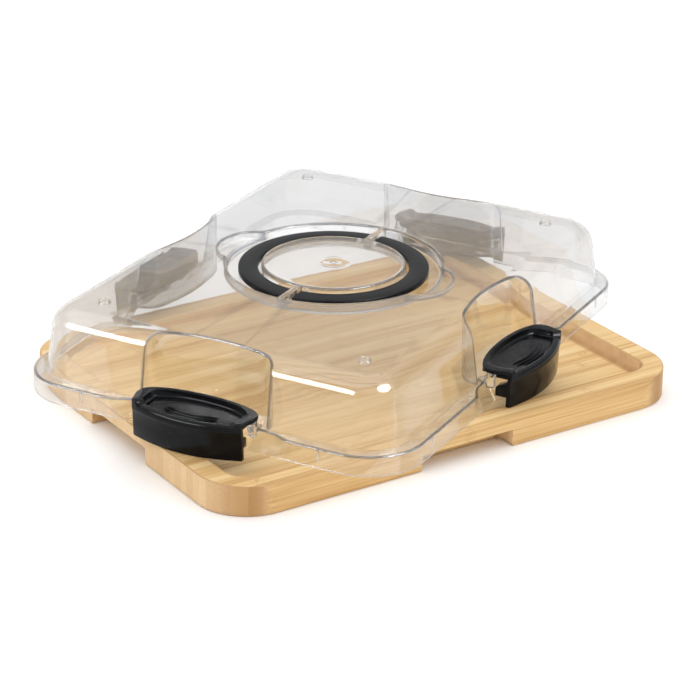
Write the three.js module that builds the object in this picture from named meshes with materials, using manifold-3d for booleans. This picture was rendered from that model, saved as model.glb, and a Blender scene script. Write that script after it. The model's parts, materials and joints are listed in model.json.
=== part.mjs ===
// Bamboo serving tray with a clear latching lid and a fold-flat carry handle.
// Millimetres, +Z up. Origin: middle of the tray's underside. X runs along the tray's long side.
// The lid is set down askew on the tray, standing on the lower edges of its latches.

import * as THREE from 'three';
import { mergeVertices } from 'three/addons/utils/BufferGeometryUtils.js';
import Module from 'manifold-3d';

const wasm = await Module();
wasm.setup();

// ---------------------------------------------------------------- driving dimensions

// Tray
const TRAY_LONG = 380;
const TRAY_WIDE = 291;
const TRAY_THICK = 22;
const TRAY_CORNER = 38;
const TRAY_EASE = 1.2;
const RIM_WIDE = 18;
const POCKET_DEEP = 10;
const POCKET_CORNER = 14;
const POCKET_COVE = 7;
const NOTCH_WIDE = 75.4;
const NOTCH_HIGH = 12.5;
const NOTCH_DEEP = 16;
const NOTCH_ROUND = 6;

// Lid, with heights above the lower edge of its skirt
const LID_LONG = 386.2;
const LID_WIDE = 297.6;
const LID_CORNER = 41;
const LID_WALL = 2;
const SKIRT_HIGH = 14.5;
const SKIRT_CUT = 80;
const SKIRT_CUT_DEEP = 20;
const FLANGE_CUT_DEEP = 11;
const LID_HIGH = 60.3;
const FLANGE_WIDE = 9;
const DOME_DRAFT = 4.5;
const SHOULDER = 17;
const DIP = 7;
const DIP_START = 72;
const DIP_END = 52;

// Lid placement
const LID_TURN = 28.86;
const LID_SHIFT_X = 2.7;
const LID_SHIFT_Y = 27.9;

// Finger recess in each side wall, behind its latch
const RECESS_WIDE = 96;
const RECESS_DEEP = 31;
const RECESS_BOW = 4;
const RECESS_CORNER = 14;

// Handle well in the lid's top
const WELL_RADIUS = 77;
const WELL_DEEP = 8;
const ISLAND_RADIUS = 52;
const SCOOP_MIDDLE = 70;
const SCOOP_REACH = 91;
const SCOOP_HALF = 27;
const SCOOP_DEEP = 5;
const BRIDGE_WIDE = 5.2;
const NUB_X = 145.3;
const NUB_Y = 101.2;
const NUB_RADIUS = 4.5;
const NUB_BORE = 3.1;
const NUB_HIGH = 1.7;
const LOCATING_RIB = 1.6;
const LOCATING_RIB_HIGH = 8;
const LOCATING_RIB_X = 137;
const LOCATING_RIB_Y = 92;

// Handle halves and their pins
const HANDLE_INNER = 54.3;
const HANDLE_OUTER = 68.6;
const HANDLE_THICK = 4.2;
const HANDLE_BEVEL = 0.8;
const HANDLE_PIN_Y = 6.2;
const HANDLE_END_Y = 3.6;
const HANDLE_PIN_DROP = 4.6;
const HANDLE_PIN_RADIUS = 1.85;
const HANDLE_PIN_LONG = 15.5;
const HANDLE_PIN_START = 49.8;

// Latches: u runs along the side, v points outward from the pivot, w points up
const PIVOT_OUTSET = -3;
const PIVOT_OVER_SKIRT = 20.1;
const LATCH_EAR_U = 42;
const LATCH_EAR_V = 15.5;
const LATCH_TIP_U = 45.5;
const LATCH_TIP_V = 4.5;
const LATCH_INNER_V = -15.2;
const LATCH_INNER_FULLNESS = 0.95;
const LATCH_BOW = 9;
const LATCH_TOP = 5;
const LATCH_PLATE = 2;
const LATCH_BODY_U = 38.4;
const LATCH_FLOOR = -1;
const LATCH_WALL = 2.5;
const LATCH_LOW = -22.5;
const APRON_LEAN = 1.4;
const DISH_HALF = 34.5;
const DISH_FLOOR = 0.8;
const DISH_INNER_RIM = 3.5;
const DISH_LIP = 4;
const BLOCK_NEAR = 26;
const BLOCK_V = 1.8;
const BLOCK_LOW = -17.1;
const BLOCK_FACE_TOP = -10.5;
const BLOCK_TOP = -4.5;
const HOOK_HALF = 18;
const HOOK_V = -3.5;
const HOOK_TOP = -17.9;
const HOOK_NOSE = 1.6;
const HOOK_LOW = -21.9;
const BOSS_NEAR = 39.3;
const BOSS_FAR = 44.3;
const BOSS_RADIUS = 2.7;
const BOSS_FOOT = 10.5;
const BOSS_WEB_LONG = 9;
const BOSS_WEB_OVER = 1.5;
const LATCH_PIN_RADIUS = 1.2;
const LATCH_PIN_LONG = 9;
const LATCH_PIN_FAR = 43;

// Running clearance around every pin and between neighbours
const GAP = 0.3;

// How far cutting tools run past a surface, and how far added pieces sink into a wall
const OVERCUT = 5;
const SINK = 0.5;
const LIP_OVERLAP = 0.2;

// Facets
const CORNER_STEPS = 7;
const COVE_STEPS = 4;
const SHOULDER_STEPS = 5;
const DIP_STEPS = 6;
const BOW_STEPS = 6;
const LIP_STEPS = 10;
const TIP_STEPS = 20;
const WELL_SIDES = 72;
const SCOOP_SIDES = 36;
const DISH_SIDES = 32;
const NUB_SIDES = 24;
const PIN_SIDES = 16;

// ---------------------------------------------------------------- solids

const rad = THREE.MathUtils.degToRad;

// A closed geometry as a manifold solid
function solid(geometry) {
  const plain = geometry.clone();
  plain.deleteAttribute('normal');
  plain.deleteAttribute('uv');
  const merged = mergeVertices(plain, 1e-4);
  return new wasm.Manifold(new wasm.Mesh({
    numProp: 3,
    vertProperties: new Float32Array(merged.attributes.position.array),
    triVerts: new Uint32Array(merged.index.array),
  }));
}

// A manifold solid as a geometry
function geometryOf(manifold) {
  const mesh = manifold.getMesh();
  const geometry = new THREE.BufferGeometry();
  geometry.setAttribute('position', new THREE.BufferAttribute(new Float32Array(mesh.vertProperties), 3));
  geometry.setIndex(new THREE.BufferAttribute(new Uint32Array(mesh.triVerts), 1));
  geometry.computeVertexNormals();
  return geometry;
}

function joined(parts) {
  return parts.reduce((sum, part) => sum.add(part));
}

function cut(body, tools) {
  return tools.reduce((left, tool) => left.subtract(tool), body);
}

function box(x0, x1, y0, y1, z0, z1) {
  const geometry = new THREE.BoxGeometry(x1 - x0, y1 - y0, z1 - z0);
  geometry.translate((x0 + x1) / 2, (y0 + y1) / 2, (z0 + z1) / 2);
  return solid(geometry);
}

// A disc or post standing along Z
function post(radius, x, y, z0, z1, sides) {
  const geometry = new THREE.CylinderGeometry(radius, radius, z1 - z0, sides);
  geometry.rotateX(Math.PI / 2);
  geometry.translate(x, y, (z0 + z1) / 2);
  return solid(geometry);
}

// A round bar lying along X
function barX(radius, x0, x1, y, z, sides) {
  const geometry = new THREE.CylinderGeometry(radius, radius, x1 - x0, sides);
  geometry.rotateZ(Math.PI / 2);
  geometry.translate((x0 + x1) / 2, y, z);
  return solid(geometry);
}

// Outlines at rising heights, all with the same number of points, skinned into one closed solid
function loft(sections) {
  const count = sections[0].outline.length;
  const positions = [];
  sections.forEach(({ outline, z }) => outline.forEach((p) => positions.push(p.x, p.y, z)));
  const index = [];
  for (let s = 0; s < sections.length - 1; s += 1) {
    for (let i = 0; i < count; i += 1) {
      const a = s * count + i;
      const b = s * count + ((i + 1) % count);
      index.push(a, b, b + count, a, b + count, a + count);
    }
  }
  const last = (sections.length - 1) * count;
  THREE.ShapeUtils.triangulateShape(sections[0].outline, []).forEach(([a, b, c]) => index.push(a, c, b));
  const top = sections[sections.length - 1].outline;
  THREE.ShapeUtils.triangulateShape(top, []).forEach(([a, b, c]) => index.push(last + a, last + b, last + c));
  const geometry = new THREE.BufferGeometry();
  geometry.setAttribute('position', new THREE.BufferAttribute(new Float32Array(positions), 3));
  geometry.setIndex(index);
  return solid(geometry);
}

function prism(outline, z0, z1) {
  return loft([{ outline, z: z0 }, { outline, z: z1 }]);
}

// ---------------------------------------------------------------- outlines, all anticlockwise

function arc(cx, cy, radius, fromDeg, toDeg, steps) {
  return Array.from({ length: steps + 1 }, (_, i) => {
    const angle = rad(fromDeg + ((toDeg - fromDeg) * i) / steps);
    return new THREE.Vector2(cx + radius * Math.cos(angle), cy + radius * Math.sin(angle));
  });
}

function roundedRectangle(long, wide, radius) {
  const x = long / 2 - radius;
  const y = wide / 2 - radius;
  return [
    ...arc(x, y, radius, 0, 90, CORNER_STEPS),
    ...arc(-x, y, radius, 90, 180, CORNER_STEPS),
    ...arc(-x, -y, radius, 180, 270, CORNER_STEPS),
    ...arc(x, -y, radius, 270, 360, CORNER_STEPS),
  ];
}

// How far the lid's edge dips inward at a distance along the side from its middle
function dipAt(along, depth) {
  const t = THREE.MathUtils.clamp((DIP_START - Math.abs(along)) / (DIP_START - DIP_END), 0, 1);
  return depth * t * t * (3 - 2 * t);
}

// A rounded rectangle whose four sides dip inward around the latches
function lidOutline(inset, dip) {
  const long = LID_LONG / 2 - inset;
  const wide = LID_WIDE / 2 - inset;
  const radius = LID_CORNER - inset;
  const pace = (DIP_START - DIP_END) / DIP_STEPS;
  const ramp = Array.from({ length: DIP_STEPS + 1 }, (_, i) => DIP_START - pace * i);
  const alongs = [...ramp, ...ramp.map((value) => -value).reverse()];
  const x = long - radius;
  const y = wide - radius;
  return [
    ...arc(x, y, radius, 0, 90, CORNER_STEPS),
    ...alongs.map((t) => new THREE.Vector2(t, wide - dipAt(t, dip))),
    ...arc(-x, y, radius, 90, 180, CORNER_STEPS),
    ...alongs.map((t) => new THREE.Vector2(-long + dipAt(t, dip), t)),
    ...arc(-x, -y, radius, 180, 270, CORNER_STEPS),
    ...alongs.map((t) => new THREE.Vector2(-t, -wide + dipAt(t, dip))),
    ...arc(x, -y, radius, 270, 360, CORNER_STEPS),
    ...alongs.map((t) => new THREE.Vector2(long - dipAt(t, dip), -t)),
  ];
}

// ---------------------------------------------------------------- tray

function trayPocket() {
  const long = TRAY_LONG - 2 * RIM_WIDE;
  const wide = TRAY_WIDE - 2 * RIM_WIDE;
  const floor = TRAY_THICK - POCKET_DEEP;
  const sections = Array.from({ length: COVE_STEPS + 1 }, (_, i) => {
    const angle = rad((90 * i) / COVE_STEPS);
    const inset = POCKET_COVE * (1 - Math.sin(angle));
    const z = floor + POCKET_COVE * (1 - Math.cos(angle));
    return { outline: roundedRectangle(long - 2 * inset, wide - 2 * inset, POCKET_CORNER - inset), z };
  });
  const edge = roundedRectangle(long, wide, POCKET_CORNER);
  const eased = roundedRectangle(long + 2 * TRAY_EASE, wide + 2 * TRAY_EASE, POCKET_CORNER + TRAY_EASE);
  sections.push({ outline: edge, z: TRAY_THICK - TRAY_EASE });
  sections.push({ outline: eased, z: TRAY_THICK });
  sections.push({ outline: eased, z: TRAY_THICK + OVERCUT });
  return loft(sections);
}

// A grip notch under one side, its inner corners rounded as a router leaves them
function trayNotch(turn, reach) {
  const outline = roundedRectangle(NOTCH_WIDE, 2 * NOTCH_DEEP, NOTCH_ROUND);
  return prism(outline, -OVERCUT, NOTCH_HIGH).translate(0, -reach, 0).rotate(0, 0, turn);
}

function trayBoard() {
  const whole = roundedRectangle(TRAY_LONG, TRAY_WIDE, TRAY_CORNER);
  const eased = roundedRectangle(
    TRAY_LONG - 2 * TRAY_EASE,
    TRAY_WIDE - 2 * TRAY_EASE,
    TRAY_CORNER - TRAY_EASE,
  );
  const body = loft([
    { outline: eased, z: 0 },
    { outline: whole, z: TRAY_EASE },
    { outline: whole, z: TRAY_THICK - TRAY_EASE },
    { outline: eased, z: TRAY_THICK },
  ]);
  const notches = [0, 90, 180, 270].map((turn) => {
    const reach = turn % 180 === 0 ? TRAY_WIDE / 2 : TRAY_LONG / 2;
    return trayNotch(turn, reach);
  });
  return cut(body, [trayPocket(), ...notches]);
}

// ---------------------------------------------------------------- lid

const SIDES = [
  { name: 'front', turn: 0, reach: LID_WIDE / 2 },
  { name: 'right', turn: 90, reach: LID_LONG / 2 },
  { name: 'back', turn: 180, reach: LID_WIDE / 2 },
  { name: 'left', turn: 270, reach: LID_LONG / 2 },
];

// The domed body of the lid, drawn in by a wall thickness for its hollow
function dome(wall) {
  const top = LID_HIGH - wall;
  const shoulderLow = LID_HIGH - SHOULDER;
  const sections = [{ outline: lidOutline(FLANGE_WIDE + wall, 0), z: SKIRT_HIGH - LID_WALL - wall }];
  for (let i = 0; i <= SHOULDER_STEPS; i += 1) {
    const angle = rad((90 * i) / SHOULDER_STEPS);
    const inset = FLANGE_WIDE + DOME_DRAFT + SHOULDER - (SHOULDER - wall) * Math.cos(angle);
    const z = shoulderLow + (SHOULDER - wall) * Math.sin(angle);
    sections.push({ outline: lidOutline(inset, 0), z: Math.min(z, top) });
  }
  return loft(sections);
}

// The skirt that drops around the tray, leaning in beside each latch
function skirt(wall, low, high) {
  return loft([
    { outline: lidOutline(wall, 0), z: low },
    { outline: lidOutline(wall, DIP), z: high },
  ]);
}

// Finger recess behind a latch: an upright pocket with a bowed back wall
function recess(side, grow) {
  const half = RECESS_WIDE / 2 + grow;
  const radius = RECESS_CORNER + grow;
  const y0 = -side.reach + RECESS_DEEP - RECESS_BOW + grow;
  const flat = half - radius;
  const bow = Array.from({ length: BOW_STEPS - 1 }, (_, i) => {
    const t = 1 - (2 * (i + 1)) / BOW_STEPS;
    return new THREE.Vector2(flat * t, y0 + RECESS_BOW * (1 - t * t));
  });
  const outline = [
    new THREE.Vector2(-half, -side.reach - OVERCUT),
    new THREE.Vector2(half, -side.reach - OVERCUT),
    ...arc(flat, y0 - radius, radius, 0, 90, CORNER_STEPS),
    ...bow,
    ...arc(-flat, y0 - radius, radius, 90, 180, CORNER_STEPS),
  ];
  const low = SKIRT_HIGH - grow;
  return prism(outline, low, LID_HIGH + OVERCUT).rotate(0, 0, side.turn);
}

// Handle well: a ring-shaped groove with a finger scoop at each side
function well(grow) {
  const low = LID_HIGH - WELL_DEEP - grow;
  const scoopLow = LID_HIGH - SCOOP_DEEP - grow;
  const high = LID_HIGH + OVERCUT;
  const groove = post(WELL_RADIUS + grow, 0, 0, low, high, WELL_SIDES);
  const scoops = [-1, 1].map((sign) => {
    const outline = arc(0, 0, 1, 0, 360, SCOOP_SIDES).slice(0, -1).map((p) => new THREE.Vector2(
      p.x * (SCOOP_HALF + grow),
      sign * SCOOP_MIDDLE + p.y * (SCOOP_REACH - SCOOP_MIDDLE + grow),
    ));
    return prism(outline, scoopLow, high);
  });
  const island = post(ISLAND_RADIUS - grow, 0, 0, low - SINK, high + SINK, WELL_SIDES);
  return joined([groove, ...scoops]).subtract(island);
}

// Bars across the groove that carry the handle between its two halves
function bridges() {
  return [-1, 1].map((sign) => {
    const near = sign * (ISLAND_RADIUS - LID_WALL / 2);
    const far = sign * (WELL_RADIUS + LID_WALL / 2);
    return box(
      Math.min(near, far),
      Math.max(near, far),
      -BRIDGE_WIDE / 2,
      BRIDGE_WIDE / 2,
      LID_HIGH - WELL_DEEP - LID_WALL,
      LID_HIGH,
    );
  });
}

function handlePinBores() {
  const z = LID_HIGH - HANDLE_PIN_DROP;
  const reach = ISLAND_RADIUS + SINK;
  const near = ISLAND_RADIUS - LID_WALL - 2 * SINK;
  return [-1, 1].flatMap((end) => [-1, 1].map((side) => barX(
    HANDLE_PIN_RADIUS + GAP,
    Math.min(end * near, end * reach),
    Math.max(end * near, end * reach),
    side * HANDLE_PIN_Y,
    z,
    PIN_SIDES,
  )));
}

// Two lugs per latch, each an upright tab with a round head about the pivot
function bosses(side) {
  const y = -side.reach - PIVOT_OUTSET;
  return [-1, 1].map((sign) => {
    const x0 = Math.min(sign * BOSS_NEAR, sign * BOSS_FAR);
    const x1 = Math.max(sign * BOSS_NEAR, sign * BOSS_FAR);
    const head = barX(BOSS_RADIUS, x0, x1, y, PIVOT_OVER_SKIRT, PIN_SIDES);
    const stem = box(x0, x1, y - BOSS_RADIUS, y + BOSS_RADIUS, BOSS_FOOT, PIVOT_OVER_SKIRT);
    const web = box(x0, x1, y, y + BOSS_WEB_LONG, SKIRT_HIGH - LID_WALL, SKIRT_HIGH + BOSS_WEB_OVER);
    return joined([head, stem, web]).rotate(0, 0, side.turn);
  });
}

function bossBores(side) {
  const y = -side.reach - PIVOT_OUTSET;
  return [-1, 1].map((sign) => {
    const near = sign * (BOSS_NEAR - SINK);
    const far = sign * (LATCH_PIN_FAR + GAP);
    return barX(
      LATCH_PIN_RADIUS + GAP,
      Math.min(near, far),
      Math.max(near, far),
      y,
      PIVOT_OVER_SKIRT,
      PIN_SIDES,
    ).rotate(0, 0, side.turn);
  });
}

// The skirt is open behind each latch
function skirtGap(side) {
  return box(
    -SKIRT_CUT / 2,
    SKIRT_CUT / 2,
    -side.reach - OVERCUT,
    -side.reach + SKIRT_CUT_DEEP,
    -OVERCUT,
    SKIRT_HIGH - LID_WALL,
  ).rotate(0, 0, side.turn);
}

// The flange stops short of the pivot line behind each latch
function flangeGap(side) {
  return box(
    -BOSS_NEAR,
    BOSS_NEAR,
    -side.reach - OVERCUT,
    -side.reach + FLANGE_CUT_DEEP,
    -OVERCUT,
    SKIRT_HIGH + SINK,
  ).rotate(0, 0, side.turn);
}

// Small upright ribs inside the skirt, two to a side
function locatingRibs() {
  const high = SKIRT_HIGH - LID_WALL + LIP_OVERLAP;
  const x = LID_LONG / 2 - LID_WALL;
  const y = LID_WIDE / 2 - LID_WALL;
  const places = [-1, 1].flatMap((a) => [-1, 1].flatMap((b) => [
    { x: a * x, y: b * LOCATING_RIB_Y },
    { x: b * LOCATING_RIB_X, y: a * y },
  ]));
  const half = LOCATING_RIB / 2;
  return places.map((place) => box(
    place.x - half,
    place.x + half,
    place.y - half,
    place.y + half,
    high - LOCATING_RIB_HIGH,
    high,
  ));
}

function nubs() {
  return [-1, 1].flatMap((a) => [-1, 1].map((b) => {
    const outer = post(NUB_RADIUS, a * NUB_X, b * NUB_Y, LID_HIGH - SINK, LID_HIGH + NUB_HIGH, NUB_SIDES);
    const bore = post(NUB_BORE, a * NUB_X, b * NUB_Y, LID_HIGH, LID_HIGH + OVERCUT, NUB_SIDES);
    return outer.subtract(bore);
  }));
}

function lidShell() {
  const inner = LID_WALL - LIP_OVERLAP;
  const shellOuter = cut(
    joined([dome(0), skirt(0, 0, SKIRT_HIGH)]),
    [...SIDES.map((side) => recess(side, 0)), well(0)],
  );
  const hollow = cut(
    joined([dome(LID_WALL), skirt(inner, -OVERCUT, SKIRT_HIGH - LID_WALL)]),
    [...SIDES.map((side) => recess(side, LID_WALL)), well(LID_WALL)],
  );
  const additions = [...bridges(), ...nubs(), ...locatingRibs(), ...SIDES.flatMap(bosses)];
  const removals = [
    ...SIDES.map(skirtGap),
    ...SIDES.map(flangeGap),
    ...SIDES.flatMap(bossBores),
    ...handlePinBores(),
  ];
  return cut(joined([shellOuter.subtract(hollow), ...additions]), removals);
}

// ---------------------------------------------------------------- handle

// Half of a flat ring, cut straight beside the bridges, with a bore at each end for its pin
function handleHalf() {
  const outerDeg = THREE.MathUtils.radToDeg(Math.asin(HANDLE_END_Y / HANDLE_OUTER));
  const innerDeg = THREE.MathUtils.radToDeg(Math.asin(HANDLE_END_Y / HANDLE_INNER));
  const outline = [
    ...arc(0, 0, HANDLE_OUTER, outerDeg, 180 - outerDeg, WELL_SIDES / 2),
    ...arc(0, 0, HANDLE_INNER, 180 - innerDeg, innerDeg, WELL_SIDES / 2),
  ];
  const half = HANDLE_THICK / 2;
  const middle = (HANDLE_INNER + HANDLE_OUTER) / 2;
  const slim = outline.map((p) => {
    const radius = p.length();
    const pulled = radius > middle ? radius - HANDLE_BEVEL : radius + HANDLE_BEVEL;
    return p.clone().multiplyScalar(pulled / radius);
  });
  const ring = loft([
    { outline: slim, z: -half },
    { outline, z: HANDLE_BEVEL - half },
    { outline, z: half - HANDLE_BEVEL },
    { outline: slim, z: half },
  ]);
  const bores = [-1, 1].map((sign) => {
    const near = sign * (HANDLE_INNER - OVERCUT);
    const far = sign * (HANDLE_PIN_START + HANDLE_PIN_LONG + GAP);
    return barX(
      HANDLE_PIN_RADIUS + GAP,
      Math.min(near, far),
      Math.max(near, far),
      HANDLE_PIN_Y,
      0,
      PIN_SIDES,
    );
  });
  return cut(ring, bores).translate(0, -HANDLE_PIN_Y, 0);
}

function handlePin() {
  return barX(HANDLE_PIN_RADIUS, 0, HANDLE_PIN_LONG, 0, 0, PIN_SIDES);
}

// ---------------------------------------------------------------- latch

// The bowed line of the lip, at a fraction from -1 to 1 along the latch
function lipLine(t, shift) {
  return new THREE.Vector2(LATCH_EAR_U * t, shift - LATCH_EAR_V - LATCH_BOW * (1 - t * t));
}

// The leaf-shaped top, seen from above: bowed lip outside, ears, tips and a long inner arc
function latchOutline() {
  const lip = Array.from({ length: LIP_STEPS + 1 }, (_, i) => lipLine(-1 + (2 * i) / LIP_STEPS, 0));
  const back = Array.from({ length: TIP_STEPS + 1 }, (_, i) => {
    const angle = rad((180 * i) / TIP_STEPS);
    const inward = -LATCH_INNER_V * Math.sin(angle) ** LATCH_INNER_FULLNESS;
    return new THREE.Vector2(LATCH_TIP_U * Math.cos(angle), inward);
  });
  const tips = [1, -1].map((sign) => new THREE.Vector2(sign * LATCH_TIP_U, -LATCH_TIP_V));
  return [...lip, tips[0], ...back, tips[1]];
}

// A curved wall hanging from the lip, leaning in toward its lower edge
function apron() {
  const ring = (shift) => {
    const outside = Array.from({ length: LIP_STEPS + 1 }, (_, i) => lipLine(-1 + (2 * i) / LIP_STEPS, shift));
    const inside = outside.map((p) => new THREE.Vector2(p.x, p.y + LATCH_WALL)).reverse();
    return [...outside, ...inside];
  };
  return loft([
    { outline: ring(APRON_LEAN), z: LATCH_LOW },
    { outline: ring(0), z: LATCH_FLOOR },
    { outline: ring(0), z: LATCH_TOP - LATCH_PLATE },
  ]);
}

// A thumb dish behind the lip
function dish() {
  const outline = Array.from({ length: DISH_SIDES }, (_, i) => {
    const angle = rad((360 * i) / DISH_SIDES);
    const inward = -LATCH_INNER_V - DISH_INNER_RIM;
    const outward = LATCH_EAR_V + LATCH_BOW - DISH_LIP;
    const depth = Math.sin(angle) > 0 ? inward : outward;
    return new THREE.Vector2(DISH_HALF * Math.cos(angle), depth * Math.sin(angle));
  });
  return prism(outline, DISH_FLOOR, LATCH_TOP + OVERCUT);
}

// A profile drawn in the (outward, up) plane and drawn out along the side
function barSection(profile, u0, u1) {
  const geometry = new THREE.ExtrudeGeometry(new THREE.Shape(profile), {
    depth: u1 - u0,
    bevelEnabled: false,
  });
  geometry.rotateX(Math.PI / 2);
  geometry.rotateZ(Math.PI / 2);
  geometry.translate(u0, 0, 0);
  return solid(geometry);
}

// Bearing blocks behind both ends of the apron
function bearingBlocks() {
  const root = -LATCH_EAR_V + SINK;
  const profile = [
    new THREE.Vector2(root, BLOCK_LOW),
    new THREE.Vector2(-BLOCK_V, BLOCK_LOW),
    new THREE.Vector2(-BLOCK_V, BLOCK_FACE_TOP),
    new THREE.Vector2(root, BLOCK_TOP),
  ];
  return [-1, 1].map((sign) => {
    const near = sign * BLOCK_NEAR;
    const far = sign * LATCH_BODY_U;
    return barSection(profile, Math.min(near, far), Math.max(near, far));
  });
}

// The hook in the middle that catches under the tray's notch
function hook() {
  const root = APRON_LEAN + LATCH_WALL - SINK - LATCH_EAR_V - LATCH_BOW;
  return barSection([
    new THREE.Vector2(root, HOOK_LOW),
    new THREE.Vector2(-LATCH_EAR_V + DISH_LIP, HOOK_LOW),
    new THREE.Vector2(-HOOK_V, HOOK_TOP - HOOK_NOSE),
    new THREE.Vector2(-HOOK_V, HOOK_TOP),
    new THREE.Vector2(root, HOOK_TOP),
  ], -HOOK_HALF, HOOK_HALF);
}

function latch() {
  const outline = latchOutline();
  const plate = prism(outline, LATCH_TOP - LATCH_PLATE, LATCH_TOP);
  const clip = box(-LATCH_BODY_U, LATCH_BODY_U, -LATCH_TIP_U, LATCH_TIP_U, LATCH_LOW, LATCH_TOP);
  const body = prism(outline, LATCH_FLOOR, LATCH_TOP - LATCH_PLATE).intersect(clip);
  const whole = joined([plate, body, apron(), ...bearingBlocks(), hook()]);
  const pinBores = [-1, 1].map((sign) => {
    const near = sign * (BOSS_NEAR - SINK);
    const far = sign * (LATCH_PIN_FAR - LATCH_PIN_LONG - GAP);
    return barX(LATCH_PIN_RADIUS + GAP, Math.min(near, far), Math.max(near, far), 0, 0, PIN_SIDES);
  });
  return cut(whole, [dish(), ...pinBores]);
}

function latchPin() {
  return barX(LATCH_PIN_RADIUS, -LATCH_PIN_LONG / 2, LATCH_PIN_LONG / 2, 0, 0, PIN_SIDES);
}

// ---------------------------------------------------------------- materials

const finish = {
  bamboo: () => new THREE.MeshStandardMaterial({ color: 0xd9b374, roughness: 0.55, metalness: 0 }),
  clear: () => new THREE.MeshStandardMaterial({
    color: 0xeef1f2,
    roughness: 0.08,
    metalness: 0,
    transparent: true,
    opacity: 0.3,
  }),
  black: () => new THREE.MeshStandardMaterial({ color: 0x17181a, roughness: 0.35, metalness: 0 }),
  steel: () => new THREE.MeshStandardMaterial({ color: 0xb9bcc0, roughness: 0.3, metalness: 1 }),
};

function node(name, manifold, material) {
  const mesh = new THREE.Mesh(geometryOf(manifold), material());
  mesh.name = name;
  return mesh;
}

// ---------------------------------------------------------------- assembly

const server = new THREE.Group();
server.add(node('tray_board', trayBoard(), finish.bamboo));

const lid = new THREE.Group();
lid.position.set(LID_SHIFT_X, LID_SHIFT_Y, TRAY_THICK + GAP - LATCH_LOW - PIVOT_OVER_SKIRT);
lid.rotation.z = rad(LID_TURN);
lid.add(node('lid_shell', lidShell(), finish.clear));
server.add(lid);

[{ name: 'back', turn: 0 }, { name: 'front', turn: 180 }].forEach(({ name, turn }) => {
  const half = new THREE.Group();
  half.rotation.z = rad(turn);
  const ring = node(`handle_${name}`, handleHalf(), finish.black);
  ring.position.set(0, HANDLE_PIN_Y, LID_HIGH - HANDLE_PIN_DROP);
  half.add(ring);
  [{ end: 'a', sign: 1 }, { end: 'b', sign: -1 }].forEach(({ end, sign }) => {
    const pin = node(`handle_${name}_pin_${end}`, handlePin(), finish.steel);
    const x = sign > 0 ? HANDLE_PIN_START : -HANDLE_PIN_START - HANDLE_PIN_LONG;
    pin.position.set(x, HANDLE_PIN_Y, LID_HIGH - HANDLE_PIN_DROP);
    half.add(pin);
  });
  lid.add(half);
});

SIDES.forEach((side) => {
  const mount = new THREE.Group();
  mount.rotation.z = rad(side.turn);
  const body = node(`latch_${side.name}`, latch(), finish.black);
  body.position.set(0, -side.reach - PIVOT_OUTSET, PIVOT_OVER_SKIRT);
  mount.add(body);
  [{ end: 'a', sign: 1 }, { end: 'b', sign: -1 }].forEach(({ end, sign }) => {
    const pin = node(`latch_${side.name}_pin_${end}`, latchPin(), finish.steel);
    const x = sign * (LATCH_PIN_FAR - LATCH_PIN_LONG / 2);
    pin.position.set(x, -side.reach - PIVOT_OUTSET, PIVOT_OVER_SKIRT);
    mount.add(pin);
  });
  lid.add(mount);
});

export default server;
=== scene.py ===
"""Chip and dip server: a bamboo tray, a clear latching lid and a fold-flat ring handle.

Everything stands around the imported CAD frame, in metres with +Z up. Shapes are worked out in
millimetres in three local frames (the tray's, the lid's and one latch's) and placed by a matrix each.
"""
import json
import math

import bmesh
import bpy
from mathutils import Matrix, Vector


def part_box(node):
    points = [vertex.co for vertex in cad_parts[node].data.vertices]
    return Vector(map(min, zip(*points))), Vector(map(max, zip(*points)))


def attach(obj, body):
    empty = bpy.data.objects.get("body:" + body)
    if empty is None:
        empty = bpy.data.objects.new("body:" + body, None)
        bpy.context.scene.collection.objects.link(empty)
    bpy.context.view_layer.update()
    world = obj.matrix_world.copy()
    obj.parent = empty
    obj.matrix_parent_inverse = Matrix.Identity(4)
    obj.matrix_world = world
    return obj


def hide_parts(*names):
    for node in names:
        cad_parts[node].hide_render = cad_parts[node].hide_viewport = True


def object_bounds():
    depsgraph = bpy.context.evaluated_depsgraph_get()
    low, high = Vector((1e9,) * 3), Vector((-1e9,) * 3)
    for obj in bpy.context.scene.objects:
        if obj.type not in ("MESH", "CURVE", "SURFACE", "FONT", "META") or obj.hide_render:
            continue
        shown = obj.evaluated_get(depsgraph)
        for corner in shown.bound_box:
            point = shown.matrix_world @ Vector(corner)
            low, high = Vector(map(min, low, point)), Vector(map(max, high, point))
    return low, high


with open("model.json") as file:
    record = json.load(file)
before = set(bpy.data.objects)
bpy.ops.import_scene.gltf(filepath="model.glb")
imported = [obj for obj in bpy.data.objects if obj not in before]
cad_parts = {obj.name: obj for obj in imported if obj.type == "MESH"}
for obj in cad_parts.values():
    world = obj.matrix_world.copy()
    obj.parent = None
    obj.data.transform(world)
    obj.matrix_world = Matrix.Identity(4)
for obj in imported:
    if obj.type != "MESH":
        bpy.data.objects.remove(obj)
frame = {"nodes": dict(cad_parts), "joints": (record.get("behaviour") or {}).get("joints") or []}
CAD_LOW, CAD_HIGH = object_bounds()

MM = 0.001
JOINTS = {joint["name"]: joint for joint in frame["joints"]}

# ---------------------------------------------------------------- sizes, in millimetres

# Tray
TRAY_LOW, TRAY_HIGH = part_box("tray_board")
TRAY_LONG = (TRAY_HIGH.x - TRAY_LOW.x) / MM
TRAY_WIDE = (TRAY_HIGH.y - TRAY_LOW.y) / MM
TRAY_THICK = TRAY_HIGH.z / MM
TRAY_CORNER = 38
TRAY_EASE = 1.2
POCKET_FLOOR = 12
POCKET_COVE = 7
POCKET_CORNER = 14
RIM_WIDE = 18
NOTCH_HALF = 37.7
NOTCH_DEEP = 16
NOTCH_ROUND = 6
NOTCH_HIGH = 12.5
NOTCH_FLARE = 2.2

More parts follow.
